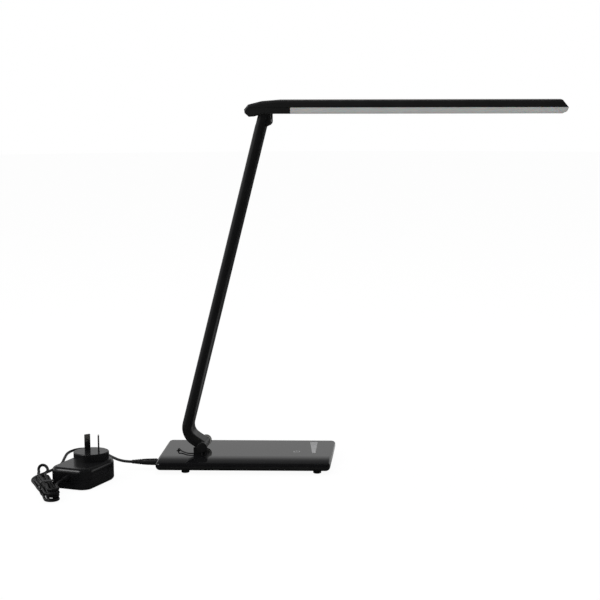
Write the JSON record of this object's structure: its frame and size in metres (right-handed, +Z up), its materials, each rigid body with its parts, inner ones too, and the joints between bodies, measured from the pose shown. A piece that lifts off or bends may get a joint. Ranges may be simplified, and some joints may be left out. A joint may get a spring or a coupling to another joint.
{
  "type": "led desk lamp",
  "caption": "Folding desk lamp: flat touch base, leaning flat arm on a low hinge, long thin tilting light bar, with its wall adapter and wound cord.",
  "frame": {"origin": "centre of the base's footprint, on the plane that the feet stand on", "axes": "+X along the head to its tip, +Y to the back of the base, +Z up"},
  "size_m": [0.5722, 0.2331, 0.4008],
  "materials": {
    "gloss_black": "gloss",
    "satin_black": "satin",
    "arm_black": "satin",
    "rubber_black": "matt",
    "steel": "satin",
    "plated": "bright",
    "diffuser_white": "translucent white",
    "print_grey": "printed",
    "carrier_metal": "plain",
    "board_green": "lacquered",
    "board_white": "lacquered",
    "component_dark": "moulded",
    "led_yellow": "phosphor",
    "washer_white": "low friction"
  },
  "bodies": {
    "stand": {"base_top_cover": "gloss_black", "base_bottom_tray": "satin_black", "base_feet": "rubber_black", "base_screws": "steel", "base_ballast": "steel", "touch_board": "board_green", "board_components": "component_dark", "dc_jack": "component_dark", "jack_wires": "rubber_black", "dimmer_mark": "print_grey", "power_mark": "print_grey", "hinge_bracket": "arm_black", "bracket_screws": "steel", "lead_grommet": "rubber_black", "base_lead": "rubber_black", "lower_axle": "steel", "lower_nut": "steel", "lower_washers": "washer_white", "lower_caps": "satin_black", "dc_plug_barrel": "plated", "dc_plug_body": "satin_black", "cord_to_lamp": "rubber_black", "cord_hank": "rubber_black", "cord_to_adapter": "rubber_black", "hank_tie": "satin_black", "adapter_lower_shell": "satin_black", "adapter_upper_shell": "satin_black", "plug_pins": "plated", "pin_sleeves": "satin_black", "adapter_board": "board_green", "adapter_transformer": "component_dark", "adapter_capacitors": "component_dark", "adapter_strain_relief": "rubber_black"},
    "arm": {"arm_tube": "arm_black", "arm_knuckle": "arm_black", "arm_top_fitting": "arm_black", "arm_end_plates": "arm_black", "arm_wire": "rubber_black"},
    "head": {"head_housing": "gloss_black", "head_tail_cover": "satin_black", "tail_screws": "steel", "diffuser": "diffuser_white", "led_carrier": "carrier_metal", "carrier_screws": "steel", "led_board": "board_white", "leds": "led_yellow", "head_wire": "rubber_black", "upper_axle": "arm_black", "upper_retainer": "arm_black", "upper_washers": "washer_white"}
  },
  "joints": [
    {"name": "arm_tilt", "type": "hinge", "parent": "stand", "child": "arm", "pos_m": [-0.0484, 0, 0.0212], "axis": [0, 1, 0], "range_deg": [-30, 75]},
    {"name": "head_tilt", "type": "hinge", "parent": "arm", "child": "head", "pos_m": [0.02618, 0, 0.37789], "axis": [0, 1, 0], "range_deg": [-15, 105]}
  ]
}
